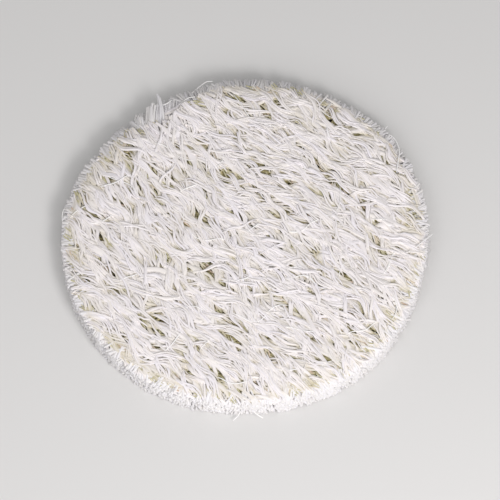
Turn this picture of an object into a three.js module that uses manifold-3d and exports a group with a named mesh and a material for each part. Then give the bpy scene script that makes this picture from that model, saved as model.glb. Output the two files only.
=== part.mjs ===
// A natural loofah sponge, cut and pressed as a flat round disc.
// The skeleton of the fruit grew as one net of fibres, so the disc is one solid.
// Millimetres, with +Z up and the origin at the middle of the underside.

import * as THREE from 'three';
import { mergeVertices } from 'three/addons/utils/BufferGeometryUtils.js';
import Module from 'manifold-3d';

const wasm = await Module();
wasm.setup();

// Size of the disc
const MEAN_RADIUS = 37.2;
const THICKNESS = 6;

// The cut edge is slightly out of round: each lobe lifts it by rise at the angles where it peaks
const EDGE_LOBES = [
  { waves: 2, rise: 0.53, peak: 43 },
  { waves: 3, rise: 0.29, peak: 55 },
  { waves: 5, rise: 0.22, peak: 22 },
];

// Dense middle of the net, which the strands stand out of
const MIDDLE_INSET = 1.1;
const MIDDLE_BOTTOM = 1.1;
const MIDDLE_TOP = 4.7;
const WALL_STEPS = 72;
const WALL_BANDS = 2;
const WALL_JAG = 0.45;

// Direction of the fibres seen from above, in degrees from +X, and the patches where it turns away
const GRAIN_ANGLE = -43;
const GRAIN_TURNS = [
  { x: -16, y: 12, reach: 14, turn: -18 },
  { x: 3, y: 18, reach: 15, turn: 13 },
];
const CROSS_GRAIN = 74;

// Main strands of the two faces. A crest is the height of a strand's ridge above the floor,
// and the middle strand of the lower face is pressed lower, because the disc rests on it.
const UPPER_NET = {
  side: 1,
  turn: 0,
  pitch: 3.1,
  crest: THICKNESS - 0.3,
  middleCrest: THICKNESS - 0.3,
  crestWave: 0.3,
  root: MIDDLE_TOP - 0.5,
  halfWidth: 1.15,
  branchesPerGap: 1,
};
const LOWER_NET = {
  side: -1,
  turn: CROSS_GRAIN,
  pitch: 4.4,
  crest: -0.2,
  middleCrest: -0.6,
  crestWave: 0.12,
  root: MIDDLE_BOTTOM + 0.5,
  halfWidth: 1.55,
  branchesPerGap: 1,
};
const STRIDE = 0.5;
const STRAND_STEP = 4.3;
const STRAND_SHORTEST = 15;
const WIDTH_SCATTER = 0.15;
const END_DROP = 0.45;
const END_DROP_LENGTH = 4;
const END_SCATTER = 0.45;

// Neighbours swing against each other, so that they meet and part again
const MEANDER = { swing: 0.85, wave: 16, stray: 0.7 };

// Branches that leave one strand and run into the next
const BRANCH_RUN = 6.5;
const BRANCH_HALF_WIDTH = 0.8;
const BRANCH_CREST_DROP = 0.25;

// Cut ends round the rim: those of the far side are longer
const RIM_ENDS = 44;
const RIM_END_ROOT = 2.6;
const RIM_END_HALF_WIDTHS = [0.6, 1];
const RIM_END_LEVELS = [1.5, 2.5, 3.5];
const RIM_END_LEVEL_SCATTER = 0.3;
const RIM_END_ANGLE_SCATTER = 0.3;
const RIM_END_SPLAY = 38;
const RIM_END_REACH = 0.25;
const FAR_RIM_REACH = 1.1;

// Frayed bunch of longer ends at the upper left
const BUNCH = {
  count: 11,
  from: 108,
  to: 137,
  levels: [2.2, MIDDLE_TOP],
  reaches: [1.5, 3.6],
  headings: [84, 118],
  rises: [0.3, 1.4],
  halfWidths: [0.55, 0.85],
  root: 3.2,
};

// Shape of a loose end: how thick it is for its width, and how it tapers to its tip
const LOOSE_END_THICKNESS = 0.6;
const LOOSE_END_BEND = 0.6;
const LOOSE_END_ROOT_WIDTH = 1.1;
const LOOSE_END_TAPER = 0.35;

const FIBRE_SIDES = 3;
const LOOFAH_COLOUR = 0xe8e2da;
const LOOFAH_ROUGHNESS = 0.88;
const SEED = 20817;

const radians = THREE.MathUtils.degToRad;
const UP = new THREE.Vector3(0, 0, 1);

// Repeatable random numbers from 0 to 1
function seededRandom(seed) {
  let state = seed;
  return () => {
    state = (state * 16807) % 2147483647;
    return state / 2147483647;
  };
}

const random = seededRandom(SEED);
const between = (low, high) => low + (high - low) * random();

// Radius of the cut edge at an angle in degrees
function edgeRadius(angle) {
  let radius = MEAN_RADIUS;
  for (const lobe of EDGE_LOBES) {
    radius += lobe.rise * Math.cos(radians(lobe.waves * (angle - lobe.peak)));
  }
  return radius;
}

function angleOf(point) {
  return THREE.MathUtils.radToDeg(Math.atan2(point.y, point.x));
}

function insideEdge(point, margin) {
  return Math.hypot(point.x, point.y) < edgeRadius(angleOf(point)) - margin;
}

// Unit vector along the fibres at a place on a face, turned by a fixed angle
function grainDirection(point, turn) {
  let angle = GRAIN_ANGLE + turn;
  for (const patch of GRAIN_TURNS) {
    const distance = Math.hypot(point.x - patch.x, point.y - patch.y);
    angle += patch.turn * Math.exp(-((distance / patch.reach) ** 2));
  }
  return new THREE.Vector3(Math.cos(radians(angle)), Math.sin(radians(angle)), 0);
}

function solidOf(geometry) {
  geometry.deleteAttribute('normal');
  geometry.deleteAttribute('uv');
  const welded = mergeVertices(geometry);
  return new wasm.Manifold(new wasm.Mesh({
    numProp: 3,
    vertProperties: new Float32Array(welded.attributes.position.array),
    triVerts: new Uint32Array(welded.index.array),
  }));
}

// A three-sided fibre: a cylinder with three sides, its rings bent onto a list of stations.
// Each station has its centre, the way its ridge faces, half its width, and its ridge and root heights.
function fibreSolid(stations) {
  const steps = stations.length - 1;
  const rings = stations.map((station, index) => {
    const before = stations[Math.max(index - 1, 0)].centre;
    const after = stations[Math.min(index + 1, steps)].centre;
    const along = after.clone().sub(before).normalize();
    const across = station.facing.clone().cross(along).normalize();
    const ridge = station.centre.clone().addScaledVector(station.facing, station.ridge);
    const foot = station.centre.clone().addScaledVector(station.facing, -station.root);
    return [
      ridge,
      foot.clone().addScaledVector(across, station.halfWidth),
      foot.clone().addScaledVector(across, -station.halfWidth),
    ];
  });
  const geometry = new THREE.CylinderGeometry(1, 1, 1, FIBRE_SIDES, steps);
  const position = geometry.attributes.position;
  for (let index = 0; index < position.count; index += 1) {
    const ring = rings[Math.round((0.5 - position.getY(index)) * steps)];
    const x = position.getX(index);
    const z = position.getZ(index);
    const middle = ring[0].clone().add(ring[1]).add(ring[2]).divideScalar(FIBRE_SIDES);
    const turns = Math.atan2(x, z) / (2 * Math.PI);
    const corner = ring[(Math.round(turns * FIBRE_SIDES) + FIBRE_SIDES) % FIBRE_SIDES];
    const place = Math.hypot(x, z) < 0.5 ? middle : corner;
    position.setXYZ(index, place.x, place.y, place.z);
  }
  return solidOf(geometry);
}

// The points of a line that follows the fibres through a start point, from edge to edge
function grainLine(start, turn) {
  const walk = (sense) => {
    const points = [];
    const margin = between(-END_SCATTER, END_SCATTER);
    const point = start.clone();
    while (insideEdge(point, margin)) {
      points.push(point.clone());
      point.addScaledVector(grainDirection(point, turn), sense * STRIDE);
    }
    return points;
  };
  const behind = walk(-1).reverse();
  return { points: [...behind, ...walk(1).slice(1)], start: behind.length - 1 };
}

// A main strand as stations evenly spaced along its line, swinging from side to side
function strandStations(line, row, net) {
  const last = line.points.length - 1;
  const length = STRIDE * last;
  const steps = Math.round(length / STRAND_STEP);
  const stray = between(-MEANDER.stray, MEANDER.stray);
  const phase = row === 0 ? 0 : Math.PI * row + stray;
  const crest = row === 0 ? net.middleCrest : net.crest;
  const crestPhase = between(0, 2 * Math.PI);
  const stations = [];
  for (let step = 0; step <= steps; step += 1) {
    const reached = (length * step) / steps;
    const place = line.points[Math.round((last * step) / steps)];
    const across = UP.clone().cross(grainDirection(place, net.turn));
    const turns = (reached - STRIDE * line.start) / MEANDER.wave;
    const swing = MEANDER.swing * Math.sin(2 * Math.PI * turns + phase);
    const fromEnd = Math.min(reached, length - reached);
    const drop = END_DROP * Math.max(0, 1 - fromEnd / END_DROP_LENGTH);
    const ripple = net.crestWave * Math.sin(4 * Math.PI * turns + crestPhase);
    const ridge = crest + ripple - net.side * drop;
    stations.push({
      centre: place.clone().addScaledVector(across, swing),
      facing: UP.clone().multiplyScalar(net.side),
      ridge: net.side * ridge,
      root: -net.side * net.root,
      halfWidth: net.halfWidth * between(1 - WIDTH_SCATTER, 1 + WIDTH_SCATTER),
    });
  }
  return stations;
}

// A short branch between two neighbouring strands, leaning along the fibres
function branchStations(strand, neighbour, net) {
  const pick = Math.floor(between(1, strand.length - 3));
  const start = strand[pick].centre;
  const ahead = start.clone().addScaledVector(grainDirection(start, net.turn), BRANCH_RUN);
  const distances = neighbour.map((station) => station.centre.distanceTo(ahead));
  const end = neighbour[distances.indexOf(Math.min(...distances))].centre;
  return [0, 0.5, 1].map((share) => ({
    centre: start.clone().lerp(end, share),
    facing: UP.clone().multiplyScalar(net.side),
    ridge: net.side * net.crest - BRANCH_CREST_DROP,
    root: -net.side * net.root,
    halfWidth: BRANCH_HALF_WIDTH,
  }));
}

// All the strands and branches of one face
function faceSolids(net) {
  const middle = grainDirection(new THREE.Vector3(), net.turn);
  const across = UP.clone().cross(middle);
  const rows = Math.floor(MEAN_RADIUS / net.pitch);
  const strands = [];
  for (let row = -rows; row <= rows; row += 1) {
    const start = across.clone().multiplyScalar(row * net.pitch);
    const line = grainLine(start, net.turn);
    if (STRIDE * line.points.length > STRAND_SHORTEST) {
      strands.push(strandStations(line, row, net));
    }
  }
  const solids = strands.map(fibreSolid);
  for (let gap = 0; gap < strands.length - 1; gap += 1) {
    for (let branch = 0; branch < net.branchesPerGap; branch += 1) {
      solids.push(fibreSolid(branchStations(strands[gap], strands[gap + 1], net)));
    }
  }
  return solids;
}

// The dense middle: a flat disc whose wall is rough with cut ends
function middleSolid() {
  const height = MIDDLE_TOP - MIDDLE_BOTTOM;
  const geometry = new THREE.CylinderGeometry(1, 1, height, WALL_STEPS, WALL_BANDS);
  const jags = Array.from({ length: WALL_STEPS * (WALL_BANDS + 1) }, () => between(-WALL_JAG, WALL_JAG));
  const position = geometry.attributes.position;
  for (let index = 0; index < position.count; index += 1) {
    const x = position.getX(index);
    const z = position.getZ(index);
    const level = position.getY(index) / height + 0.5;
    const turns = Math.atan2(x, z) / (2 * Math.PI);
    const step = (Math.round(turns * WALL_STEPS) + WALL_STEPS) % WALL_STEPS;
    const angle = (360 * step) / WALL_STEPS;
    const onWall = Math.hypot(x, z) > 0.5;
    const jag = jags[step * (WALL_BANDS + 1) + Math.round(level * WALL_BANDS)];
    const radius = onWall ? edgeRadius(angle) - MIDDLE_INSET + jag : 0;
    position.setXYZ(
      index,
      radius * Math.cos(radians(angle)),
      radius * Math.sin(radians(angle)),
      MIDDLE_BOTTOM + level * height,
    );
  }
  return solidOf(geometry);
}

// A short fibre whose root is sunk in the wall at an angle round the rim
function looseEnd(angle, level, heading, reach, rise, root, halfWidth) {
  const radius = edgeRadius(angle) - root;
  const centre = new THREE.Vector3(
    radius * Math.cos(radians(angle)),
    radius * Math.sin(radians(angle)),
    level,
  );
  const along = new THREE.Vector3(Math.cos(radians(heading)), Math.sin(radians(heading)), 0);
  return fibreSolid([0, LOOSE_END_BEND, 1].map((share) => ({
    centre: centre.clone()
      .addScaledVector(along, share * (root + reach))
      .addScaledVector(UP, rise * share ** 2),
    facing: UP.clone(),
    ridge: LOOSE_END_THICKNESS * halfWidth,
    root: LOOSE_END_THICKNESS * halfWidth,
    halfWidth: halfWidth * (LOOSE_END_ROOT_WIDTH - LOOSE_END_TAPER * share),
  })));
}

// Cut ends all round the rim, reaching further out on the far side
function rimSolids() {
  const solids = [];
  for (let end = 0; end < RIM_ENDS; end += 1) {
    const place = end + between(-RIM_END_ANGLE_SCATTER, RIM_END_ANGLE_SCATTER);
    const angle = (360 * place) / RIM_ENDS;
    const scatter = between(-RIM_END_LEVEL_SCATTER, RIM_END_LEVEL_SCATTER);
    const level = RIM_END_LEVELS[end % RIM_END_LEVELS.length] + scatter;
    const far = Math.max(0, Math.sin(radians(angle)));
    const reach = between(0, RIM_END_REACH + FAR_RIM_REACH * far);
    const heading = angle + between(-RIM_END_SPLAY, RIM_END_SPLAY);
    const halfWidth = between(...RIM_END_HALF_WIDTHS);
    solids.push(looseEnd(angle, level, heading, reach, 0, RIM_END_ROOT, halfWidth));
  }
  return solids;
}

function bunchSolids() {
  const solids = [];
  for (let end = 0; end < BUNCH.count; end += 1) {
    const share = end / (BUNCH.count - 1);
    const angle = BUNCH.from + share * (BUNCH.to - BUNCH.from);
    solids.push(looseEnd(
      angle,
      between(...BUNCH.levels),
      between(...BUNCH.headings),
      between(...BUNCH.reaches),
      between(...BUNCH.rises),
      BUNCH.root,
      between(...BUNCH.halfWidths),
    ));
  }
  return solids;
}

function joined(solids) {
  let round = solids;
  while (round.length > 1) {
    const pairs = [];
    for (let index = 0; index < round.length; index += 2) {
      pairs.push(index + 1 < round.length ? round[index].add(round[index + 1]) : round[index]);
    }
    round = pairs;
  }
  return round[0];
}

// What the press flattened: everything below the floor is cut away
function floorSolid() {
  const depth = THICKNESS;
  const width = 3 * MEAN_RADIUS;
  const geometry = new THREE.BoxGeometry(width, width, depth);
  geometry.translate(0, 0, -depth / 2);
  return solidOf(geometry);
}

// The outer skin alone: a pocket sealed among the fibres is filled, and a loose scrap is dropped
function outerBody(solid) {
  const bodies = solid.decompose();
  return bodies.reduce((best, body) => (body.volume() > best.volume() ? body : best));
}

function loofahDisc() {
  const net = joined([
    middleSolid(),
    ...faceSolids(UPPER_NET),
    ...faceSolids(LOWER_NET),
    ...rimSolids(),
    ...bunchSolids(),
  ]);
  const { vertProperties, triVerts } = outerBody(net.subtract(floorSolid())).getMesh();
  const geometry = new THREE.BufferGeometry();
  geometry.setAttribute('position', new THREE.BufferAttribute(vertProperties, 3));
  geometry.setIndex(new THREE.BufferAttribute(triVerts, 1));
  geometry.computeVertexNormals();
  const material = new THREE.MeshStandardMaterial({
    color: LOOFAH_COLOUR,
    roughness: LOOFAH_ROUGHNESS,
    metalness: 0,
  });
  const mesh = new THREE.Mesh(geometry, material);
  mesh.name = 'loofah_disc';
  return mesh;
}

const loofah = new THREE.Group();
loofah.add(loofahDisc());

export default loofah;
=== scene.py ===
"""A natural loofah sponge: a flat round disc of bleached plant fibres, with its cut rim and frayed bunch.

Metres, with +Z up. The disc lies on the floor at z = 0 and the camera looks down on it at a slant.
"""

import math
from types import SimpleNamespace as Facts

import bpy
import numpy as np
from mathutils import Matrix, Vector


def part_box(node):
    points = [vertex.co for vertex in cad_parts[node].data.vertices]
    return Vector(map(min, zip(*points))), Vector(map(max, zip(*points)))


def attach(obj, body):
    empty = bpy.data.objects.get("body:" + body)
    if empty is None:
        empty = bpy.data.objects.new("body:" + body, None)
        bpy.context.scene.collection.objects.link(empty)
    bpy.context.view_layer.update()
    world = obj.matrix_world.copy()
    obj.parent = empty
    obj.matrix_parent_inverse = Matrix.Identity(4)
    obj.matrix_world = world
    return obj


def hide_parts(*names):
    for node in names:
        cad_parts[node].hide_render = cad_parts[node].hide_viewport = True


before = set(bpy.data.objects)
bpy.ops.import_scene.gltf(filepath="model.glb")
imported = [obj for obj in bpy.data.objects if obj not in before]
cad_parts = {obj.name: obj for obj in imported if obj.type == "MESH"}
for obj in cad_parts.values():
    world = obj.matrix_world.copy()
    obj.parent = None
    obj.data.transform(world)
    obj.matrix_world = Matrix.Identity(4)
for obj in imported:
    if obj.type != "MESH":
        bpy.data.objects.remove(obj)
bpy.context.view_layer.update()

MM = 0.001
TAU = 2 * math.pi
SEED = 20817

# Size and outline of the disc. A lobe is a few waves round the edge, one of which peaks at its angle.
MEAN_RADIUS = 37.2 * MM
EDGE_LOBES = (
    Facts(waves=2, rise=0.53 * MM, peak=43),
    Facts(waves=3, rise=0.29 * MM, peak=55),
    Facts(waves=5, rise=0.22 * MM, peak=22),
)
FACE_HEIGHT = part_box("loofah_disc")[1][2]
EDGE_ROUNDING = 0.85 * MM
EDGE_ROUNDING_REACH = 1.7 * MM
FACE_UNEVENNESS = 0.14 * MM
FACE_UNEVENNESS_WAVE = 15 * MM
FACE_UNEVENNESS_PHASE = 1

# Direction of the fibres seen from above, in degrees, with the patches and ripples where it turns.
# A ripple is itself bent, in waves across it that are a multiple of its own.
GRAIN_ANGLE = -43
GRAIN_PATCHES = (
    Facts(middle=(-16 * MM, 12 * MM), reach=14 * MM, turn=-18),
    Facts(middle=(3 * MM, 18 * MM), reach=15 * MM, turn=13),
)
GRAIN_RIPPLES = (
    Facts(wave=13 * MM, swing=9, across=20, phase=0.4),
    Facts(wave=8.5 * MM, swing=8, across=110, phase=2.1),
    Facts(wave=5.5 * MM, swing=7, across=65, phase=4.4),
)
GRAIN_BEND_WAVE = 2.3
GRAIN_BEND = 1.4

# Layers of fibres. Depths are measured from the nearer face, and angles are in degrees from the grain.
UPPER_TOP = Facts(
    side=1, count=640, family=3, pitch=0.32 * MM, rings=18, sides=3,
    lengths=(6 * MM, 13 * MM), widths=(0.3 * MM, 0.5 * MM), thickness=0.6,
    depths=(0.14 * MM, 0.38 * MM), sway=0.12 * MM, dive=0.8 * MM, free_share=0.03, inset=0.1 * MM,
    turn=0, spread=21, swing=15, waves=(5 * MM, 13 * MM), far_reach=-1.3 * MM, notch=3.4 * MM,
)
UPPER_SECOND = Facts(
    side=1, count=480, family=4, pitch=0.44 * MM, rings=18, sides=3,
    lengths=(6 * MM, 13 * MM), widths=(0.5 * MM, 0.8 * MM), thickness=0.45,
    depths=(0.42 * MM, 0.7 * MM), sway=0.1 * MM, dive=0.5 * MM, free_share=0, inset=0.2 * MM,
    turn=0, spread=21, swing=14, waves=(5 * MM, 13 * MM), far_reach=-0.8 * MM, notch=2.6 * MM,
)
UPPER_CROSS = Facts(
    side=1, count=340, family=3, pitch=0.6 * MM, rings=10, sides=4,
    lengths=(9 * MM, 20 * MM), widths=(0.45 * MM, 0.9 * MM), thickness=0.6,
    depths=(1.3 * MM, 2.1 * MM), sway=0.25 * MM, dive=0.4 * MM, free_share=0, inset=0.6 * MM,
    turn=48, spread=34, swing=16, waves=(7 * MM, 14 * MM), far_reach=0, notch=0,
)
INNER = Facts(
    side=1, count=410, family=2, pitch=1.1 * MM, rings=9, sides=4,
    lengths=(14 * MM, 26 * MM), widths=(0.7 * MM, 1.3 * MM), thickness=0.6,
    depths=(2.0 * MM, 3.6 * MM), sway=0.35 * MM, dive=0.2 * MM, free_share=0, inset=0.9 * MM,
    turn=-30, spread=60, swing=16, waves=(8 * MM, 16 * MM), far_reach=0, notch=0,
)
LOWER_CROSS = Facts(
    side=-1, count=190, family=3, pitch=0.9 * MM, rings=9, sides=4,
    lengths=(12 * MM, 24 * MM), widths=(0.5 * MM, 1.0 * MM), thickness=0.5,
    depths=(0.8 * MM, 1.7 * MM), sway=0.25 * MM, dive=0.3 * MM, free_share=0, inset=0.9 * MM,
    turn=20, spread=40, swing=16, waves=(8 * MM, 16 * MM), far_reach=0, notch=0,
)
LOWER_FACE = Facts(
    side=-1, count=300, family=5, pitch=0.65 * MM, rings=10, sides=4,
    lengths=(8 * MM, 22 * MM), widths=(0.32 * MM, 0.8 * MM), thickness=0.5,
    depths=(0.25 * MM, 0.7 * MM), sway=0.1 * MM, dive=0.4 * MM, free_share=0, inset=0.5 * MM,
    turn=74, spread=22, swing=16, waves=(7 * MM, 14 * MM), far_reach=0, notch=0,
)
FLAT_BANDS = Facts(
    side=1, count=52, family=1, pitch=0, rings=18, sides=8,
    lengths=(9 * MM, 20 * MM), widths=(0.6 * MM, 1.15 * MM), thickness=0.3,
    depths=(0.3 * MM, 0.5 * MM), sway=0.12 * MM, dive=0.6 * MM, free_share=0, inset=0.6 * MM,
    turn=0, spread=12, swing=12, waves=(10 * MM, 18 * MM), far_reach=-0.8 * MM, notch=2.5 * MM,
)
SPRAYS = Facts(
    side=1, count=62, family=10, pitch=0.11 * MM, rings=11, sides=5,
    lengths=(9 * MM, 14 * MM), widths=(0.22 * MM, 0.42 * MM), thickness=0.55,
    depths=(0.12 * MM, 0.35 * MM), sway=0.12 * MM, dive=0.7 * MM, free_share=0.05, inset=0.2 * MM,
    turn=0, spread=10, swing=8, waves=(8 * MM, 14 * MM), far_reach=-0.8 * MM, notch=2.5 * MM,
)
SPRAY_FAN = 24
SPRAY_FAN_RUN = 4 * MM
STRAYS = Facts(
    side=1, count=44, family=1, pitch=0, rings=16, sides=4,
    lengths=(5 * MM, 14 * MM), widths=(0.16 * MM, 0.26 * MM), thickness=0.9,
    depths=(0.12 * MM, 0.3 * MM), sway=0.1 * MM, dive=0.6 * MM, free_share=0.1, inset=0,
    turn=60, spread=35, swing=26, waves=(9 * MM, 20 * MM), far_reach=0, notch=0,
)

# Where fibres start, and the steps of their walk along the grain, each way from there
GOLDEN_ANGLE = math.radians(137.508)
START_SCATTER = 0.45
PLACE_SCATTER = 0.15
HALF_STEPS = 24
SHORTEST_FIBRE = 2 * MM

# How the fibres of a family differ from each other
OWN_LENGTHS = (0.75, 1.1)
OWN_LEAN = 3
OWN_SWING = 7
OWN_DEPTH = 0.04 * MM

# How fibres end: scattered about the cut edge, or diving and tapering over a share of their length
CUT_SCATTER = 0.16 * MM
FAR_RAGGEDNESS = 0.6
DIVE_SHARE = 0.26
TAPER_SHARE = 0.12
TAPERED_WIDTH = 0.3

# How fibres sway, roll by some degrees, and flare once into a web, which a share of them do
SWAY_WAVES = (5 * MM, 11 * MM)
ROLL = 20
FLARE_SHARE = 0.22
FLARE = 1.0
FLARE_REACH = 1.1 * MM
FLARE_PLACES = (0.2, 0.8)

# Lens-shaped pores, which push the fibres of the upper layers apart. The skew makes most of them small.
PORES = Facts(
    count=2000, half_lengths=(0.4 * MM, 1.2 * MM), half_widths=(0.12 * MM, 0.3 * MM), lean=14, skew=2.5)
PORE_EDGE = 0.08 * MM
PORE_GATHER = 1.0
DEEP_PORE_SHARE = 0.13
DEEP_PORE_GROWTH = 1.4

# Unbleached fibres along the bottom of each pore, coloured near-black as painted shade in the deep ones
PORE_FLOOR = Facts(
    family=2, rings=4, sides=3, thickness=0.5, depths=(0.8 * MM, 1.05 * MM), deep=(2.1 * MM, 2.6 * MM),
    overlap=0.3 * MM, splay=9, uneven=0.06 * MM, apart=0.6, breadth=0.75, taper=0.4,
    tones=(0.12, 0.95), own_tone=0.1,
)

# Cut ends of fibres all round the rim, which reach further out and lie lower on the far side
RIM_ENDS = Facts(
    count=7000, rings=2, sides=5, widths=(0.34 * MM, 0.6 * MM), thickness=0.8,
    roots=(1.6 * MM, 4.0 * MM), heights=(0.25 * MM, 5.1 * MM), far_top=4.6 * MM, bunch_top=3.4 * MM,
    lowest=0.2 * MM, droop=0.2 * MM, reaches=(-0.3 * MM, 0.1 * MM), far_reach=0.9 * MM,
    far_shares=(0.55, 1.05), lean=23, splay=12, tufts=31, tuft_bend=1.5, bend_waves=13,
    least_outward=0.45,
)

# Where the rim faces away from the camera, and how uneven its ends are there
RIM_WAVES = (
    Facts(waves=9, phase=0.9, share=0.45),
    Facts(waves=23, phase=2.7, share=0.3),
    Facts(waves=57, phase=5.1, share=0.25),
)
FAR_SIDE_RISE = 1.3
FAR_SIDE_START = 0.2
RIM_EVENNESS = 0.6
RIM_UNEVENNESS = 0.6

# Frayed bunch at the upper left: where it is on the rim, and its clumps of parallel ends.
# A clump is the line of its tips in plan, its length and its heights, in millimetres, and its heading
# at the tips and how far it bends, in degrees.
BUNCH_ANGLE = 119
BUNCH_SPREAD = 9
BUNCH = Facts(
    rings=8, sides=5, widths=(0.24 * MM, 0.46 * MM), thickness=0.5, ragged=0.45 * MM, splay=3.5)
CLUMPS = (
    Facts(
        tips=((-28.6, 23.6), (-26.6, 25.2)), length=3.6, heights=(3.8, 4.1),
        heading=128, bend=16, count=14,
    ),
    Facts(
        tips=((-26.4, 25.4), (-23.6, 26.7)), length=4.2, heights=(4.0, 4.3),
        heading=96, bend=46, count=19,
    ),
    Facts(
        tips=((-22.9, 29.2), (-21.2, 28.6)), length=5.8, heights=(4.0, 4.7),
        heading=99, bend=8, count=13,
    ),
    Facts(
        tips=((-20.6, 31.0), (-18.3, 32.1)), length=7.4, heights=(4.1, 5.0),
        heading=84, bend=-14, count=19,
    ),
    Facts(
        tips=((-17.6, 32.6), (-14.4, 33.4)), length=6.2, heights=(3.5, 4.2),
        heading=88, bend=-3, count=13,
    ),
    Facts(
        tips=((-14.2, 33.4), (-11.6, 34.4)), length=4.8, heights=(3.7, 4.2),
        heading=80, bend=-16, count=16,
    ),
)
CLUMP_LENGTHS = (0.85, 1.1)
CLUMP_ARCH = 0.3
CLUMP_UNEVENNESS = (-0.3, 0.2)

# The one flat spike that stands out of the bunch
SPIKE = Facts(
    rings=10, sides=5, widths=(0.42 * MM, 0.6 * MM), thickness=0.4, ragged=0.4 * MM, splay=1.5)
SPIKE_CLUMP = Facts(
    tips=((-18.4, 33.9), (-18.0, 33.5)), length=8.6, heights=(4.2, 5.2), heading=103, bend=26, count=3)

# Thin hairs that stand out of the outline, as the places that each passes through, in millimetres
HAIR = Facts(rings=14, sides=4, widths=(0.2 * MM, 0.3 * MM), thickness=0.8)
LOOSE_HAIRS = (
    (
        (-11.6, 34.2, 4.3), (-10.9, 35.2, 4.5), (-9.6, 36.3, 4.7),
        (-8.3, 37.3, 4.8), (-7.0, 37.4, 4.8),
    ),
    (
        (-37.2, 2.6, 4.2), (-37.5, 4.1, 4.5), (-37.6, 6.1, 4.7),
        (-37.2, 7.5, 4.8), (-36.4, 7.7, 4.8), (-35.8, 5.2, 4.6),
    ),
    (
        (28.3, 25.6, 4.6), (29.7, 24.6, 5.0), (30.9, 22.9, 5.4),
        (31.5, 20.5, 5.6), (31.2, 18.2, 5.8), (30.8, 15.4, 5.9),
    ),
    ((29.1, 26.6, 5.2), (28.3, 25.7, 5.0), (27.0, 25.3, 5.4)),
    ((37.9, 1.3, 5.4), (36.4, -0.2, 5.8), (34.6, -1.8, 5.9)),
    ((-1.0, -36.4, 1.2), (-1.7, -37.7, 1.1), (-2.6, -38.6, 1.0)),
    ((1.2, -36.6, 1.8), (2.1, -37.5, 1.6), (3.4, -38.3, 1.4)),
    ((-13.9, 31.8, 5.0), (-12.9, 32.6, 5.2), (-11.9, 33.3, 5.2), (-10.6, 33.6, 5.1)),
)

# Light scatters from fibre to fibre, so their shading leans towards the disc's own surface
SOFT_SHADING = 0.8
RIM_SOFT_SHADING = 1.5
FACING_REACH = 2.2 * MM
RIM_FACING = 0.4

# The rim and the bunch count as shallower than the faces, so they get less of the depth tint and its
# painted shade
RIM_DEPTH_SHARE = 0.55
BUNCH_SHALLOW_REACH = 5 * MM
BUNCH_SHALLOW_DEPTH = 2.5 * MM

# Finishes of the bleached fibre, whose colour fades with depth to a darker olive: partly the inside's own
# tone, partly painted shade of the mat's recesses
BLEACHED_FIBRE = Facts(
    name="Bleached fibre", pale=(0.90, 0.86, 0.92), warm=(0.915, 0.86, 0.81),
    roughness=(0.6, 0.85), relief=0.75, tint_end=1.6 * MM,
)
FLAT_SMOOTH_BAND = Facts(
    name="Flat smooth band", pale=(0.88, 0.83, 0.87), warm=(0.89, 0.84, 0.80),
    roughness=(0.5, 0.75), relief=0.7, tint_end=1.6 * MM,
)
FINE_HAIR = Facts(
    name="Fine hair", pale=(0.95, 0.93, 0.94), warm=(0.94, 0.92, 0.89),
    roughness=(0.5, 0.7), relief=0.3, tint_end=1.6 * MM,
)
CUT_ENDS = Facts(
    name="Cut ends", pale=(0.85, 0.83, 0.87), warm=(0.84, 0.81, 0.78),
    roughness=(0.7, 0.9), relief=0.6, tint_end=4.5 * MM,
)
# Dark olive deep in the mat: the inside's own tone, darkened as painted shade of the recesses
INSIDE_TONE_AND_SHADE = (0.56, 0.49, 0.25)
TINT_START = 0.25 * MM
RELIEF_DEPTH = 0.03 * MM
FIBRE_GLOSS = 0.35
BLOTCH_SHARE = 0.5
TONE_SHARE = 0.6

# Streaks on a fibre, stretched along it, and the pattern's step from one fibre to the next
STREAK_ACROSS = 2.2
STREAK_ALONG = 0.5
STREAK_STEP = 60
STREAK_NOISES = (
    Facts(output="Streaks", scale=1.6, detail=3),
    Facts(output="Blotches", scale=0.45, detail=1),
)

# Colours of the fibre in the pores, by tone; the near-black at 0 is painted shade for the deep pores
UNBLEACHED_AND_SHADE_COLOURS = (
    (0.0, (0.12, 0.09, 0.06)),
    (0.12, (0.50, 0.46, 0.27)),
    (0.45, (0.62, 0.58, 0.39)),
    (0.78, (0.72, 0.65, 0.50)),
    (0.9, (0.72, 0.58, 0.46)),
    (1.0, (0.62, 0.46, 0.35)),
)
UNBLEACHED_MOTTLE = 0.8
UNBLEACHED_ROUGHNESS = 0.85
UNBLEACHED_GLOSS = 0.3

# Each fibre has a cell of its own in the map, with a small disc at either side for its cut ends
CELL_MARGIN = 0.1
CAP_RADIUS = 0.3 * CELL_MARGIN
CAP_PLACE = 0.45 * CELL_MARGIN

# Camera and photograph frame
CAMERA_ELEVATION = 62.5
CAMERA_DISTANCE = 1.0
SENSOR_WIDTH = 36
PHOTO_SIDE = 500
PIXELS_PER_METRE = 4900
DISC_MIDDLE_PIXEL = (246.3, 245.4)

# Floor and light
FLOOR_SIDE = 4
FLOOR_COLOUR = (0.72, 0.71, 0.70)
FLOOR_ROUGHNESS = 0.8
KEY_LIGHT = Facts(place=(0.13, -0.25, 0.27), size=0.11, power=0.61, colour=(1.0, 0.985, 0.985))
FILL_LIGHT = Facts(place=(-0.05, -0.36, 0.42), size=0.6, power=1.56, colour=(0.985, 0.985, 1.0))
SURROUND_LIGHT = 0.39


def edge_radius(angle):
    """Radius of the cut edge at an angle in radians."""
    radius = np.full_like(angle, MEAN_RADIUS)
    for lobe in EDGE_LOBES:
        radius += lobe.rise * np.cos(lobe.waves * (angle - math.radians(lobe.peak)))
    return radius


def angle_of(plan):
    """Angle of plan points round the disc, in radians."""
    return np.arctan2(plan[..., 1], plan[..., 0])


def from_edge(plan):
    """How far plan points lie inside the cut edge."""
    return edge_radius(angle_of(plan)) - np.hypot(plan[..., 0], plan[..., 1])


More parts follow.
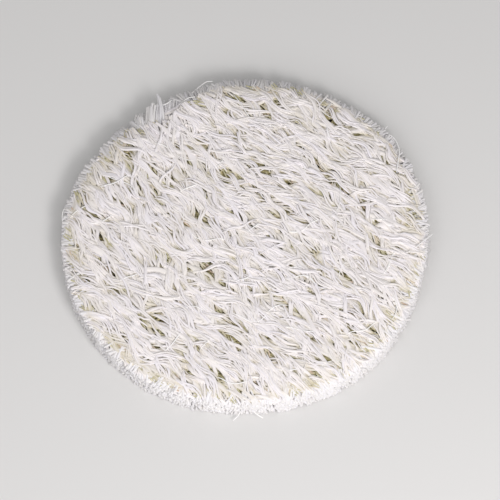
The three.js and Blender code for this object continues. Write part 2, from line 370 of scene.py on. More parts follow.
def far_side(angle):
    """Where the rim faces away from the camera: 1 at most, 0 from its sides on, and uneven between."""
    uneven = sum(ripple.share * np.sin(ripple.waves * angle + ripple.phase) for ripple in RIM_WAVES)
    facing_away = np.clip(FAR_SIDE_RISE * np.sin(angle) + FAR_SIDE_START, 0, 1)
    return facing_away * np.clip(RIM_EVENNESS + RIM_UNEVENNESS * uneven, 0, 1)


def near_bunch(angle):
    """1 in the middle of the frayed bunch, falling to 0 past its sides."""
    off = np.degrees(angle) - BUNCH_ANGLE
    return np.exp(-((off / BUNCH_SPREAD) ** 2))


def grain_heading(plan):
    """Direction of the fibres at plan points, in radians."""
    heading = np.full(plan.shape[:-1], float(GRAIN_ANGLE))
    for patch in GRAIN_PATCHES:
        distance = np.hypot(plan[..., 0] - patch.middle[0], plan[..., 1] - patch.middle[1])
        heading += patch.turn * np.exp(-((distance / patch.reach) ** 2))
    for ripple in GRAIN_RIPPLES:
        facing = math.radians(ripple.across)
        run = plan[..., 0] * math.cos(facing) + plan[..., 1] * math.sin(facing)
        side = plan[..., 1] * math.cos(facing) - plan[..., 0] * math.sin(facing)
        bend = np.sin(TAU * side / (GRAIN_BEND_WAVE * ripple.wave))
        heading += ripple.swing * np.sin(TAU * run / ripple.wave + ripple.phase + GRAIN_BEND * bend)
    return np.radians(heading)


def along(heading):
    """Unit plan vectors of headings in radians."""
    return np.stack([np.cos(heading), np.sin(heading)], axis=-1)


def lifted(plan, height):
    """Places in space of plan points, each at its height."""
    return np.concatenate([plan, height[..., None]], axis=-1)


def scattered_starts(rng, count):
    """Plan points spread evenly over the disc, in random order and each a little off its place."""
    place = rng.permutation(count) + 0.5
    radius = MEAN_RADIUS * np.sqrt(place / count)
    spacing = MEAN_RADIUS / math.sqrt(count)
    scatter = rng.normal(0, START_SCATTER * spacing, (count, 2))
    return radius[:, None] * along(place * GOLDEN_ANGLE) + scatter


def family_starts(rng, layer):
    """Plan points where the fibres of each family start, side by side across the grain."""
    middles = scattered_starts(rng, layer.count)
    place = np.tile(np.arange(layer.family) - 0.5 * (layer.family - 1), layer.count)
    place = place + rng.uniform(-PLACE_SCATTER, PLACE_SCATTER, len(place))
    across = along(grain_heading(middles) + math.radians(layer.turn) + math.pi / 2)
    across = np.repeat(across, layer.family, axis=0)
    return np.repeat(middles, layer.family, axis=0) + (layer.pitch * place)[:, None] * across


def walk_grain(rng, layer, fan=0):
    """Plan lines of the fibres of a layer, which follow the grain both ways from their starts."""
    count = layer.count * layer.family

    def shared(values):
        return np.repeat(values, layer.family)

    starts = family_starts(rng, layer)
    stride = shared(rng.uniform(*layer.lengths, layer.count)) * rng.uniform(*OWN_LENGTHS, count)
    stride = stride / (2 * HALF_STEPS)
    lean = shared(rng.normal(layer.turn, layer.spread, layer.count)) + rng.normal(0, OWN_LEAN, count)
    lean = np.radians(lean)
    wave = shared(rng.uniform(*layer.waves, layer.count))
    phase = shared(rng.uniform(0, TAU, layer.count))
    swing = math.radians(layer.swing)
    own_wave = rng.uniform(*layer.waves, count)
    own_phase = rng.uniform(0, TAU, count)
    own_swing = math.radians(OWN_SWING)
    sides = []
    for sense in (-1, 1):
        place = starts
        side = []
        for step in range(1, HALF_STEPS + 1):
            run = sense * step * stride
            opened = fan * np.clip(run / SPRAY_FAN_RUN, 0, 1)
            bend = swing * np.sin(TAU * run / wave + phase)
            own_bend = own_swing * np.sin(TAU * run / own_wave + own_phase)
            heading = grain_heading(place) + lean + opened + (bend + own_bend)
            place = place + sense * stride[:, None] * along(heading)
            side.append(place)
        sides.append(side)
    depth = shared(rng.uniform(*layer.depths, layer.count)) + rng.normal(0, OWN_DEPTH, count)
    sway_wave = shared(rng.uniform(*SWAY_WAVES, layer.count))
    sway_phase = shared(rng.uniform(0, TAU, layer.count))
    lines = np.stack(sides[0][::-1] + [starts] + sides[1], axis=1)
    return Facts(lines=lines, stride=stride, depth=depth, sway_wave=sway_wave, sway_phase=sway_phase)


def cut_to_edge(rng, layer, walks):
    """The part of each line inside the cut edge, in evenly spaced rings, and which ends the cut made."""
    lines = walks.lines
    stride = walks.stride
    own = rng.uniform(-1, 1, len(lines))[:, None]
    angle = angle_of(lines)
    far_reach = layer.far_reach * (1 + FAR_RAGGEDNESS * own) * far_side(angle)
    reach = CUT_SCATTER * own + far_reach - layer.notch * near_bunch(angle) - layer.inset
    inside = from_edge(lines) > -reach
    ahead = np.cumprod(inside[:, HALF_STEPS:], axis=1).sum(axis=1) - 1
    behind = np.cumprod(inside[:, HALF_STEPS::-1], axis=1).sum(axis=1) - 1
    length = (ahead + behind) * stride
    kept = (ahead >= 0) & (behind >= 0) & (length > SHORTEST_FIBRE)
    first = HALF_STEPS - behind[kept]
    last = HALF_STEPS + ahead[kept]
    share = np.linspace(0, 1, layer.rings)
    spot = first[:, None] + (last - first)[:, None] * share
    low = np.minimum(np.floor(spot).astype(int), 2 * HALF_STEPS - 1)
    blend = (spot - low)[..., None]
    rows = np.arange(kept.sum())[:, None]
    kept_lines = lines[kept]
    plan = kept_lines[rows, low] * (1 - blend) + kept_lines[rows, low + 1] * blend
    cut = np.stack([behind[kept] < HALF_STEPS, ahead[kept] < HALF_STEPS], axis=1)
    run = (spot - HALF_STEPS) * stride[kept][:, None]
    sway_turn = TAU * run / walks.sway_wave[kept][:, None] + walks.sway_phase[kept][:, None]
    depth = walks.depth[kept][:, None] + layer.sway * np.sin(sway_turn)
    return plan, length[kept], cut, depth


def make_pores(rng):
    """Lens-shaped pores spread over the face, each lying along the grain."""
    middles = scattered_starts(rng, PORES.count)
    lean = np.radians(rng.normal(0, PORES.lean, PORES.count))
    size = rng.uniform(0, 1, PORES.count) ** PORES.skew
    return Facts(
        middles=middles,
        ways=along(grain_heading(middles) + lean),
        half_lengths=PORES.half_lengths[0] + size * np.ptp(PORES.half_lengths),
        half_widths=PORES.half_widths[0] + size * np.ptp(PORES.half_widths),
    )


def part_round_pores(plan, pores, share=1.0, growth=1.0):
    """Plan points pushed sideways out of the pores, so that the fibres gather along their sides."""
    moved = plan.copy()
    for index in range(int(share * len(pores.middles))):
        way = pores.ways[index]
        across = np.array([-way[1], way[0]])
        offset = plan - pores.middles[index]
        run = (offset @ way) / (growth * pores.half_lengths[index])
        side = offset @ across
        half_width = growth * pores.half_widths[index]
        lens = np.clip(1 - run ** 2, 0, 1)
        push = half_width * lens * np.exp(-np.abs(side) / (PORE_GATHER * half_width))
        moved += (push * np.tanh(side / PORE_EDGE))[..., None] * across
    return moved


def smooth_share(value):
    """Rises smoothly from 0 to 1 as value does."""
    value = np.clip(value, 0, 1)
    return value * value * (3 - 2 * value)


def fibre_heights(rng, layer, plan, depth, cut):
    """Height of every ring, from its depth in the mat, with a dive at each uncut end."""
    share = np.linspace(0, 1, layer.rings)
    free = rng.uniform(0, 1, (len(plan), 2)) < layer.free_share
    dives = np.where(cut | free, 0, layer.dive)
    for end, away in enumerate((share, 1 - share)):
        depth = depth + dives[:, [end]] * (1 - smooth_share(away / DIVE_SHARE))
    depth = depth + EDGE_ROUNDING * np.exp(-np.clip(from_edge(plan), 0, None) / EDGE_ROUNDING_REACH)
    if layer.side < 0:
        return np.maximum(depth, 0.5 * layer.widths[0])
    turn = TAU * plan / FACE_UNEVENNESS_WAVE
    ripple = np.sin(turn[..., 0]) * np.cos(turn[..., 1] + FACE_UNEVENNESS_PHASE)
    return FACE_HEIGHT - depth + FACE_UNEVENNESS * (ripple - 1)


def width_profile(rng, layer, length, cut):
    """Width of every ring: blunt at a cut end, tapering where it dives, and some flare into a web."""
    count = len(length)
    share = np.linspace(0, 1, layer.rings)
    run = share * length[:, None]
    profile = 1.0
    for end, away in enumerate((share, 1 - share)):
        tip = np.where(cut[:, [end]], 1.0, TAPERED_WIDTH)
        profile = profile * (tip + (1 - tip) * smooth_share(away / TAPER_SHARE))
    flares = (rng.uniform(0, 1, count) < FLARE_SHARE)[:, None]
    web = rng.uniform(*FLARE_PLACES, count)[:, None] * length[:, None]
    profile = profile * (1 + flares * FLARE * np.exp(-((run - web) / FLARE_REACH) ** 2))
    return rng.uniform(*layer.widths, count)[:, None] * profile


def even_widths(rng, ends, count):
    """Width of every ring of fibres that keep one width each."""
    return rng.uniform(*ends.widths, count)[:, None] * np.ones(ends.rings)


def disc_facing(places):
    """Unit vectors out of the nearest part of the disc's own surface, turning smoothly to its rim."""
    plan = places[..., :2]
    outward = plan / np.linalg.norm(plan, axis=-1, keepdims=True)
    near_rim = np.exp(-np.clip(from_edge(plan), 0, None) / FACING_REACH)
    near_top = np.exp((places[..., 2] - FACE_HEIGHT) / FACING_REACH)
    near_bottom = np.exp(-places[..., 2] / FACING_REACH) * (1 - near_rim)
    facing = lifted(RIM_FACING * near_rim[..., None] * outward, near_top - near_bottom)
    return facing / np.linalg.norm(facing, axis=-1, keepdims=True)


def sweep(rng, layer, spine, widths, soft=SOFT_SHADING):
    """Closed flattened tubes along spines, by fibre, ring and side, with what the material reads."""
    count, rings = spine.shape[:2]
    tangent = np.gradient(spine, axis=1)
    tangent /= np.linalg.norm(tangent, axis=2, keepdims=True)
    level = np.cross([0, 0, 1], tangent)
    level /= np.linalg.norm(level, axis=2, keepdims=True)
    raised = np.cross(tangent, level)
    share = np.linspace(0, 1, rings)
    twist = rng.normal(0, ROLL, count)[:, None] + rng.normal(0, ROLL, count)[:, None] * (share - 0.5)
    roll = np.radians(twist)[..., None]
    across = (level * np.cos(roll) + raised * np.sin(roll))[:, :, None]
    upward = (raised * np.cos(roll) - level * np.sin(roll))[:, :, None]
    angle = TAU * (np.arange(layer.sides) - 0.5) / layer.sides + math.pi / 2
    beside = np.cos(angle)[:, None]
    above = np.sin(angle)[:, None]
    section = beside * across + layer.thickness * above * upward
    places = spine[:, :, None] + 0.5 * widths[..., None, None] * section
    places[..., 2] = np.maximum(places[..., 2], 0)
    normals = layer.thickness * beside * across + above * upward
    normals /= np.linalg.norm(normals, axis=-1, keepdims=True)
    normals += soft * disc_facing(places)
    steps = np.linalg.norm(np.diff(spine, axis=1), axis=2)
    run = np.concatenate([np.zeros((count, 1)), np.cumsum(steps, axis=1)], axis=1)
    return Facts(places=places, normals=normals, run=run, angle=angle, tone=rng.uniform(0, 1, count))


def layer_fibres(rng, layer, fan=0, pores=None, pore_share=1.0, pore_growth=1.0):
    """The fibres of one layer, laid along the grain, parted round the pores and cut at the edge."""
    plan, length, cut, depth = cut_to_edge(rng, layer, walk_grain(rng, layer, fan))
    heights = fibre_heights(rng, layer, plan, depth, cut)
    if pores is not None:
        plan = part_round_pores(plan, pores, pore_share, pore_growth)
    return sweep(rng, layer, lifted(plan, heights), width_profile(rng, layer, length, cut))


def spray_fibres(rng, pores):
    """Bundles of fine fibres that lie close together at one end and fan out at the other."""
    place = np.tile(np.linspace(-1, 1, SPRAYS.family), SPRAYS.count)
    return layer_fibres(rng, SPRAYS, np.radians(SPRAY_FAN) * place, pores)


def rim_top(angle):
    """Height of the highest cut ends, which is lower on the far side and under the frayed bunch."""
    top = RIM_ENDS.heights[1]
    far_top = top - (top - RIM_ENDS.far_top) * far_side(angle)
    bunch_top = top - (top - RIM_ENDS.bunch_top) * near_bunch(angle)
    return np.minimum(far_top, bunch_top)


def rim_end_fibres(rng):
    """Short straight fibres rooted inside the rim, whose cut ends reach the edge all round."""
    count = RIM_ENDS.count
    angle = rng.uniform(0, TAU, count)
    height = np.minimum(rng.uniform(*RIM_ENDS.heights, count), rim_top(angle))
    reach = rng.uniform(*RIM_ENDS.reaches, count)
    reach += RIM_ENDS.far_reach * far_side(angle) * rng.uniform(*RIM_ENDS.far_shares, count)
    tuft = np.sin(RIM_ENDS.tufts * angle + RIM_ENDS.tuft_bend * np.sin(RIM_ENDS.bend_waves * angle))
    lean = RIM_ENDS.lean * tuft + rng.normal(0, RIM_ENDS.splay, count)
    heading = angle + np.radians(lean)
    rise = rng.normal(0, RIM_ENDS.droop, count)
    depth = rng.uniform(*RIM_ENDS.roots, count)
    root = (edge_radius(angle) - depth)[:, None] * along(angle)
    length = (depth + reach) / np.clip(np.cos(heading - angle), RIM_ENDS.least_outward, 1)
    share = np.linspace(0, 1, RIM_ENDS.rings)
    plan = root[:, None] + (length[:, None] * share)[..., None] * along(heading)[:, None]
    height = np.maximum(height[:, None] + rise[:, None] * share ** 2, RIM_ENDS.lowest)
    widths = even_widths(rng, RIM_ENDS, count)
    return sweep(rng, RIM_ENDS, lifted(plan, height), widths, RIM_SOFT_SHADING)


def pore_floors(rng, pores):
    """A few fibres side by side along the bottom of every pore, deeper down and near-black painted shade
    in the deep ones.
    """
    covered = from_edge(pores.middles) - UPPER_TOP.notch * near_bunch(angle_of(pores.middles))
    inside = covered > pores.half_lengths + PORE_FLOOR.overlap
    pore = np.repeat(np.flatnonzero(inside), PORE_FLOOR.family)
    place = np.tile(np.linspace(-1, 1, PORE_FLOOR.family), inside.sum())
    count = len(pore)
    share = np.linspace(-1, 1, PORE_FLOOR.rings)
    heading = angle_of(pores.ways[pore]) + np.radians(rng.normal(0, PORE_FLOOR.splay, count))
    half_width = pores.half_widths[pore] + PORE_FLOOR.overlap
    offset = PORE_FLOOR.apart * half_width * place
    middle = pores.middles[pore] + offset[:, None] * along(heading + math.pi / 2)
    reach = pores.half_lengths[pore] + PORE_FLOOR.overlap
    plan = middle[:, None] + (reach[:, None] * share)[..., None] * along(heading)[:, None]
    deep = pore < int(DEEP_PORE_SHARE * len(inside))
    deep_depth = rng.uniform(*PORE_FLOOR.deep, count)
    depth = np.where(deep, deep_depth, rng.uniform(*PORE_FLOOR.depths, count))
    bend = rng.normal(0, PORE_FLOOR.uneven, (count, PORE_FLOOR.rings))
    height = FACE_HEIGHT - depth[:, None] + bend
    widths = PORE_FLOOR.breadth * half_width[:, None] * (1 - PORE_FLOOR.taper * share ** 2)
    floors = sweep(rng, PORE_FLOOR, lifted(plan, height), widths)
    pore_tone = rng.uniform(*PORE_FLOOR.tones, len(inside))[pore]
    # Deep pores take tone 0: near-black painted shade
    floors.tone = np.where(deep, 0, pore_tone + PORE_FLOOR.own_tone * (floors.tone - 0.5))
    return floors


def clump_fibres(rng, ends, clump):
    """One clump of the frayed bunch: parallel ends side by side, cut to nearly one length."""
    count = clump.count
    place = np.linspace(0, 1, count)[:, None]
    tips = MM * (np.array(clump.tips[0]) * (1 - place) + np.array(clump.tips[1]) * place)
    heading = np.radians(clump.heading + rng.normal(0, ends.splay, count))
    tips += rng.uniform(-ends.ragged, ends.ragged, count)[:, None] * along(heading)
    back = np.linspace(1, 0, ends.rings)
    turning = heading[:, None] - math.radians(clump.bend) * back
    step = MM * clump.length * rng.uniform(*CLUMP_LENGTHS, count) / (ends.rings - 1)
    run = np.cumsum(step[:, None, None] * along(turning), axis=1)
    plan = tips[:, None] + run - run[:, -1:]
    low, high = clump.heights
    arch = CLUMP_ARCH * np.sin(math.pi * place) + rng.uniform(*CLUMP_UNEVENNESS, (count, 1))
    height = MM * (low + (high - low) * (1 - back) + arch)
    return sweep(rng, ends, lifted(plan, height), even_widths(rng, ends, count))


def smooth_path(points, count):
    """Evenly shared places on a smooth curve through a few points."""
    points = np.array(points) * MM
    ends = [2 * points[0] - points[1], 2 * points[-1] - points[-2]]
    points = np.concatenate([[ends[0]], points, [ends[1]]])
    spot = np.linspace(0, len(points) - 3, count)
    first = np.minimum(spot.astype(int), len(points) - 4)
    share = (spot - first)[:, None]
    before, start, end, after = (points[first + step] for step in range(4))
    bend = 2 * before - 5 * start + 4 * end - after
    twist = 3 * start - before - 3 * end + after
    return start + 0.5 * share * ((end - before) + share * (bend + share * twist))


def loose_hairs(rng):
    """The few thin hairs that loop out past the outline."""
    spine = np.stack([smooth_path(points, HAIR.rings) for points in LOOSE_HAIRS])
    return sweep(rng, HAIR, spine, even_widths(rng, HAIR, len(spine)))


def tube_faces(count, rings, sides):
    """Corner indices of the side quads and of the end caps of a batch of tubes."""
    fibre = np.arange(count)[:, None, None] * rings * sides
    ring = np.arange(rings - 1)[None, :, None] * sides
    side = np.arange(sides)[None, None, :]
    after = (side + 1) % sides
    low = fibre + ring
    quads = np.stack([low + side, low + after, low + sides + after, low + sides + side], axis=-1)
    first = np.arange(count)[:, None] * rings * sides
    last = first + (rings - 1) * sides
    caps = np.stack([first + np.arange(sides)[::-1], last + np.arange(sides)], axis=1)
    return quads.reshape(-1, 4), caps.reshape(-1, sides)


def tube_map(cells, columns, rows, rings, sides):
    """Map corners of the quads and caps of tubes, each tube in a cell of its own."""
    corner = np.stack([cells % columns, cells // columns], axis=-1)
    size = np.array([1 / columns, 1 / rows])
    along_cell = CELL_MARGIN + (1 - 2 * CELL_MARGIN) * np.arange(rings) / (rings - 1)
    round_cell = CELL_MARGIN + (1 - 2 * CELL_MARGIN) * np.arange(sides + 1) / sides
    u, v = np.meshgrid(along_cell, round_cell, indexing="ij")
    grid = np.stack([u, v], axis=-1)
    quad = np.stack([grid[:-1, :-1], grid[:-1, 1:], grid[1:, 1:], grid[1:, :-1]], axis=2)
    disc = CAP_RADIUS * along(TAU * np.arange(sides) / sides)
    start_cap = disc[::-1] + np.array([CAP_PLACE, 0.5])
    end_cap = disc + np.array([1 - CAP_PLACE, 0.5])
    quads = (corner[:, None, None, None] + quad[None]) * size
    caps = (corner[:, None, None] + np.stack([start_cap, end_cap])[None]) * size
    return quads.reshape(-1, 2), caps.reshape(-1, 2)


def depth_inside(places):
    """How far points lie from the nearest face or the rim, counted shallower near the bunch, for the depth
    tint and its painted shade.
    """
    plan = places[..., :2]
    edge = from_edge(plan)
    # Near the bunch the depth counts shallower, which holds back the painted shade there
    bleached = near_bunch(angle_of(plan)) * np.exp(-((edge / BUNCH_SHALLOW_REACH) ** 2))
    under_face = FACE_HEIGHT - places[..., 2] - BUNCH_SHALLOW_DEPTH * bleached
    return np.minimum(np.minimum(under_face, places[..., 2]), RIM_DEPTH_SHARE * edge)


def fibre_lie(batch):
    """Where each point is round its tube, and how far along it in millimetres."""
    lie = np.zeros(batch.places.shape)
    lie[..., 0] = np.cos(batch.angle)
    lie[..., 1] = np.sin(batch.angle)
    lie[..., 2] = batch.run[..., None] / MM
    return lie


def joined(arrays):
    """All the values of some arrays, in one row."""
    return np.concatenate([array.ravel() for array in arrays])


def make_piece(name, batches, material):
    """One mesh of many closed tubes, with a map cell for each and the values that its material reads."""
    total = sum(len(batch.places) for batch in batches)
    columns = math.ceil(math.sqrt(total))
    rows = math.ceil(total / columns)
    corners, sizes, uvs, tones = [], [], [], []
    first_point = 0
    first_cell = 0
    for batch in batches:
        count, rings, sides = batch.places.shape[:3]
        quads, caps = tube_faces(count, rings, sides)
        corners += [first_point + quads, first_point + caps]
        sizes += [np.full(len(quads), 4), np.full(len(caps), sides)]
        uvs += tube_map(first_cell + np.arange(count), columns, rows, rings, sides)
        tones.append(np.repeat(batch.tone, rings * sides))
        first_point += count * rings * sides
        first_cell += count
    corners = joined(corners)
    sizes = joined(sizes)
    mesh = bpy.data.meshes.new(name)
    mesh.vertices.add(first_point)
    mesh.loops.add(len(corners))
    mesh.polygons.add(len(sizes))
    mesh.vertices.foreach_set("co", joined(batch.places for batch in batches))
    mesh.loops.foreach_set("vertex_index", corners)
    mesh.polygons.foreach_set("loop_start", np.cumsum(sizes) - sizes)
    mesh.polygons.foreach_set("loop_total", sizes)
    mesh.polygons.foreach_set("use_smooth", np.ones(len(sizes), dtype=bool))
    mesh.update(calc_edges=True)
    normals = joined(batch.normals for batch in batches)
    mesh.normals_split_custom_set_from_vertices(normals.reshape(-1, 3))
    mesh.uv_layers.new(name="OFBake").data.foreach_set("uv", joined(uvs))
    tone = mesh.attributes.new("fibre_tone", "FLOAT", "POINT")
    tone.data.foreach_set("value", joined(tones))
    depth = mesh.attributes.new("depth_inside", "FLOAT", "POINT")
    depth.data.foreach_set("value", joined(depth_inside(batch.places) for batch in batches))
    lie = mesh.attributes.new("fibre_lie", "FLOAT_VECTOR", "POINT")
    lie.data.foreach_set("vector", joined(fibre_lie(batch) for batch in batches))
    mesh.materials.append(material)
    piece = bpy.data.objects.new(name, mesh)
    bpy.context.scene.collection.objects.link(piece)
    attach(piece, "root")
    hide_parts("loofah_disc")


def new_group(name, inputs, outputs):
    """An empty shader node group with named sockets, and its input and output nodes."""
    group = bpy.data.node_groups.new(name, "ShaderNodeTree")
    for socket, kind in inputs:
        group.interface.new_socket(name=socket, in_out="INPUT", socket_type=kind)
    for socket, kind in outputs:
        group.interface.new_socket(name=socket, in_out="OUTPUT", socket_type=kind)
    return group, group.nodes.new("NodeGroupInput"), group.nodes.new("NodeGroupOutput")


def fibre_streaks_group():
    """Fine streaks and broad blotches that run along each fibre, different on every one."""
    group, given, result = new_group(
        "Fibre streaks",
        [("Lie", "NodeSocketVector"), ("Tone", "NodeSocketFloat"), ("Length Scale", "NodeSocketFloat")],
        [("Streaks", "NodeSocketFloat"), ("Blotches", "NodeSocketFloat")],
    )
    nodes, links = group.nodes, group.links
    stretch = nodes.new("ShaderNodeCombineXYZ")
    stretch.inputs["X"].default_value = STREAK_ACROSS
    stretch.inputs["Y"].default_value = STREAK_ACROSS
    links.new(given.outputs["Length Scale"], stretch.inputs["Z"])
    scaled = nodes.new("ShaderNodeVectorMath")
    scaled.operation = "MULTIPLY"
    links.new(given.outputs["Lie"], scaled.inputs[0])
    links.new(stretch.outputs["Vector"], scaled.inputs[1])
    own = multiply(nodes, STREAK_STEP)
    links.new(given.outputs["Tone"], own.inputs[0])
    for pattern in STREAK_NOISES:
        noise = nodes.new("ShaderNodeTexNoise")
        noise.noise_dimensions = "4D"
        noise.inputs["Scale"].default_value = pattern.scale
        noise.inputs["Detail"].default_value = pattern.detail
        links.new(scaled.outputs["Vector"], noise.inputs["Vector"])
        links.new(own.outputs["Value"], noise.inputs["W"])
        links.new(noise.outputs["Fac"], result.inputs[pattern.output])
    return group


def depth_tint_group():
    """Fades from the bleached surface colour to a darker olive with depth: the inside's own tone and
    painted shade.
    """
    group, given, result = new_group(
        "Depth tint",
        [
            ("Depth", "NodeSocketFloat"), ("Start", "NodeSocketFloat"), ("End", "NodeSocketFloat"),
            ("Surface Colour", "NodeSocketColor"), ("Inside Tone And Shade", "NodeSocketColor"),
        ],
        [("Colour", "NodeSocketColor")],
    )
    nodes, links = group.nodes, group.links
    fade = nodes.new("ShaderNodeMapRange")
    fade.interpolation_type = "SMOOTHSTEP"
    links.new(given.outputs["Depth"], fade.inputs["Value"])
    links.new(given.outputs["Start"], fade.inputs["From Min"])
    links.new(given.outputs["End"], fade.inputs["From Max"])
    blend = nodes.new("ShaderNodeMix")
    blend.data_type = "RGBA"
    links.new(fade.outputs["Result"], blend.inputs["Factor"])
    links.new(given.outputs["Surface Colour"], blend.inputs["A"])
    links.new(given.outputs["Inside Tone And Shade"], blend.inputs["B"])
    links.new(blend.outputs["Result"], result.inputs["Colour"])
    return group


def multiply(nodes, factor):
    """A node that multiplies a value by a factor."""
    node = nodes.new("ShaderNodeMath")
    node.operation = "MULTIPLY"
    node.inputs[1].default_value = factor
    return node


def read_attribute(nodes, name):
    """A node that reads one of the values stored on the fibres."""
    node = nodes.new("ShaderNodeAttribute")
    node.attribute_name = name
    return node


def new_material(name):
    """A material, and its shader."""
    material = bpy.data.materials.new(name)
    material.use_nodes = True
    return material, material.node_tree.nodes["Principled BSDF"]


def place_streaks(nodes, links, groups, tone):
    """The streaks group in a material, on the lie and the tone of each fibre."""
    lie = read_attribute(nodes, "fibre_lie")
    streaks = nodes.new("ShaderNodeGroup")
    streaks.node_tree = groups["streaks"]
    streaks.inputs["Length Scale"].default_value = STREAK_ALONG
    links.new(lie.outputs["Vector"], streaks.inputs["Lie"])
    links.new(tone.outputs["Fac"], streaks.inputs["Tone"])
    return streaks


def fibre_material(groups, finish):
    """Dry bleached fibre: a tone of its own for each, streaks along it, and a tan to olive inside darkened
    as painted shade.
    """
    material, shader = new_material(finish.name)
    nodes, links = material.node_tree.nodes, material.node_tree.links
    tone = read_attribute(nodes, "fibre_tone")
    depth = read_attribute(nodes, "depth_inside")
    streaks = place_streaks(nodes, links, groups, tone)
    own_colour = nodes.new("ShaderNodeMix")
    own_colour.data_type = "RGBA"
    own_colour.inputs["A"].default_value = (*finish.pale, 1)
    own_colour.inputs["B"].default_value = (*finish.warm, 1)
    tone_part = multiply(nodes, TONE_SHARE)
    links.new(tone.outputs["Fac"], tone_part.inputs[0])
    mottle = nodes.new("ShaderNodeMath")
    mottle.operation = "MULTIPLY_ADD"
    mottle.inputs[1].default_value = BLOTCH_SHARE
    links.new(streaks.outputs["Blotches"], mottle.inputs[0])
    links.new(tone_part.outputs["Value"], mottle.inputs[2])
    links.new(mottle.outputs["Value"], own_colour.inputs["Factor"])
    # Colour fades with depth to the dark olive inside tone, which is partly painted shade
    tint = nodes.new("ShaderNodeGroup")
    tint.node_tree = groups["tint"]
    tint.inputs["Start"].default_value = TINT_START
    tint.inputs["End"].default_value = finish.tint_end
    tint.inputs["Inside Tone And Shade"].default_value = (*INSIDE_TONE_AND_SHADE, 1)
    links.new(depth.outputs["Fac"], tint.inputs["Depth"])
    links.new(own_colour.outputs["Result"], tint.inputs["Surface Colour"])
    links.new(tint.outputs["Colour"], shader.inputs["Base Color"])
    rough = nodes.new("ShaderNodeMapRange")
    rough.inputs["To Min"].default_value = finish.roughness[0]
    rough.inputs["To Max"].default_value = finish.roughness[1]
    links.new(streaks.outputs["Streaks"], rough.inputs["Value"])
    links.new(rough.outputs["Result"], shader.inputs["Roughness"])
    relief = nodes.new("ShaderNodeBump")
    relief.inputs["Strength"].default_value = finish.relief
    relief.inputs["Distance"].default_value = RELIEF_DEPTH
    links.new(streaks.outputs["Streaks"], relief.inputs["Height"])
    links.new(relief.outputs["Normal"], shader.inputs["Normal"])
    shader.inputs["Specular IOR Level"].default_value = FIBRE_GLOSS
    return material


def unbleached_material(groups):
    """Fibre in the pores: olive, tan or reddish by the tone of each, and near-black painted shade where it
    is deepest.
    """
    material, shader = new_material("Unbleached fibre and pore shade")
    nodes, links = material.node_tree.nodes, material.node_tree.links
    tone = read_attribute(nodes, "fibre_tone")
    colours = nodes.new("ShaderNodeValToRGB")
    colours.color_ramp.elements.remove(colours.color_ramp.elements[1])
    for position, colour in UNBLEACHED_AND_SHADE_COLOURS:
        stop = colours.color_ramp.elements.new(position)
        stop.color = (*colour, 1)
    links.new(tone.outputs["Fac"], colours.inputs["Fac"])
    streaks = place_streaks(nodes, links, groups, tone)
    mottled = nodes.new("ShaderNodeMix")
    mottled.data_type = "RGBA"
    mottled.blend_type = "SOFT_LIGHT"
    mottled.inputs["Factor"].default_value = UNBLEACHED_MOTTLE
    links.new(colours.outputs["Color"], mottled.inputs["A"])
    links.new(streaks.outputs["Blotches"], mottled.inputs["B"])
    links.new(mottled.outputs["Result"], shader.inputs["Base Color"])
    shader.inputs["Roughness"].default_value = UNBLEACHED_ROUGHNESS
    shader.inputs["Specular IOR Level"].default_value = UNBLEACHED_GLOSS
    return material


def make_materials():
    """The finishes of the loofah: bleached fibre, pore floors, smooth bands, hairs and cut ends."""
    groups = {"streaks": fibre_streaks_group(), "tint": depth_tint_group()}
    return Facts(
        fibre=fibre_material(groups, BLEACHED_FIBRE),
        unbleached=unbleached_material(groups),
        band=fibre_material(groups, FLAT_SMOOTH_BAND),
        hair=fibre_material(groups, FINE_HAIR),
        ends=fibre_material(groups, CUT_ENDS),
    )


def build_loofah(materials):
    """All the pieces of the disc, drawn from one seeded stream of random numbers."""
    rng = np.random.default_rng(SEED)
    pores = make_pores(rng)
    make_piece("upper_top_fibres", [layer_fibres(rng, UPPER_TOP, pores=pores)], materials.fibre)
    make_piece("upper_second_fibres", [layer_fibres(rng, UPPER_SECOND, pores=pores)], materials.fibre)
    cross = layer_fibres(rng, UPPER_CROSS, 0, pores, DEEP_PORE_SHARE, DEEP_PORE_GROWTH)
    make_piece("upper_cross_fibres", [cross], materials.fibre)
    make_piece("inner_fibres", [layer_fibres(rng, INNER), layer_fibres(rng, LOWER_CROSS)], materials.fibre)
    make_piece("lower_face_fibres", [layer_fibres(rng, LOWER_FACE)], materials.fibre)
    make_piece("pore_floor_fibres", [pore_floors(rng, pores)], materials.unbleached)
    make_piece("flat_bands", [layer_fibres(rng, FLAT_BANDS, pores=pores)], materials.band)
    make_piece("fanned_sprays", [spray_fibres(rng, pores)], materials.fibre)
    make_piece("rim_cut_ends", [rim_end_fibres(rng)], materials.ends)
    clumps = [clump_fibres(rng, BUNCH, clump) for clump in CLUMPS]
    make_piece("frayed_bunch", clumps + [clump_fibres(rng, SPIKE, SPIKE_CLUMP)], materials.ends)
    make_piece("stray_hairs", [layer_fibres(rng, STRAYS), loose_hairs(rng)], materials.hair)


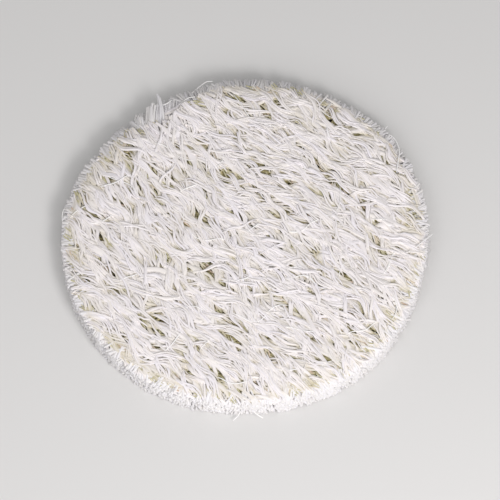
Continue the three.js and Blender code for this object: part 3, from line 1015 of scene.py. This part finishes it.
def make_floor():
    """A plain pale floor."""
    bpy.ops.mesh.primitive_plane_add(size=FLOOR_SIDE)
    floor = bpy.context.object
    floor.name = "floor"
    material, shader = new_material("Pale floor")
    shader.inputs["Base Color"].default_value = (*FLOOR_COLOUR, 1)
    shader.inputs["Roughness"].default_value = FLOOR_ROUGHNESS
    floor.data.materials.append(material)


def aim(thing, place, target):
    """Puts a camera or a light at a place and turns it to a target."""
    thing.location = place
    thing.rotation_euler = (target - place).to_track_quat("-Z", "Y").to_euler()


def make_camera():
    """A long lens at the photograph's angle, with the disc where the photograph has it."""
    elevation = math.radians(CAMERA_ELEVATION)
    middle = Vector((0, 0, 0.5 * FACE_HEIGHT))
    picture_up = Vector((0, math.sin(elevation), math.cos(elevation)))
    right = (0.5 * PHOTO_SIDE - DISC_MIDDLE_PIXEL[0]) / PIXELS_PER_METRE
    down = (0.5 * PHOTO_SIDE - DISC_MIDDLE_PIXEL[1]) / PIXELS_PER_METRE
    target = middle + Vector((right, 0, 0)) - down * picture_up
    toward = Vector((0, -math.cos(elevation), math.sin(elevation)))
    data = bpy.data.cameras.new("camera")
    data.sensor_width = SENSOR_WIDTH
    data.lens = SENSOR_WIDTH * CAMERA_DISTANCE * PIXELS_PER_METRE / PHOTO_SIDE
    camera = bpy.data.objects.new("camera", data)
    bpy.context.scene.collection.objects.link(camera)
    aim(camera, target + CAMERA_DISTANCE * toward, target)
    bpy.context.scene.camera = camera


def add_light(name, facts):
    """A soft square light aimed at the disc."""
    data = bpy.data.lights.new(name, "AREA")
    data.size = facts.size
    data.energy = facts.power
    data.color = facts.colour
    light = bpy.data.objects.new(name, data)
    bpy.context.scene.collection.objects.link(light)
    aim(light, Vector(facts.place), Vector((0, 0, 0)))


def make_lights():
    """Soft studio light: a small key from the near right, a large fill from the near side, a surround."""
    add_light("key", KEY_LIGHT)
    add_light("fill", FILL_LIGHT)
    world = bpy.data.worlds.new("surround")
    world.use_nodes = True
    world.node_tree.nodes["Background"].inputs["Color"].default_value = (1, 1, 1, 1)
    world.node_tree.nodes["Background"].inputs["Strength"].default_value = SURROUND_LIGHT
    bpy.context.scene.world = world
    bpy.context.scene.view_settings.view_transform = "Standard"


make_camera()
make_lights()
make_floor()
build_loofah(make_materials())
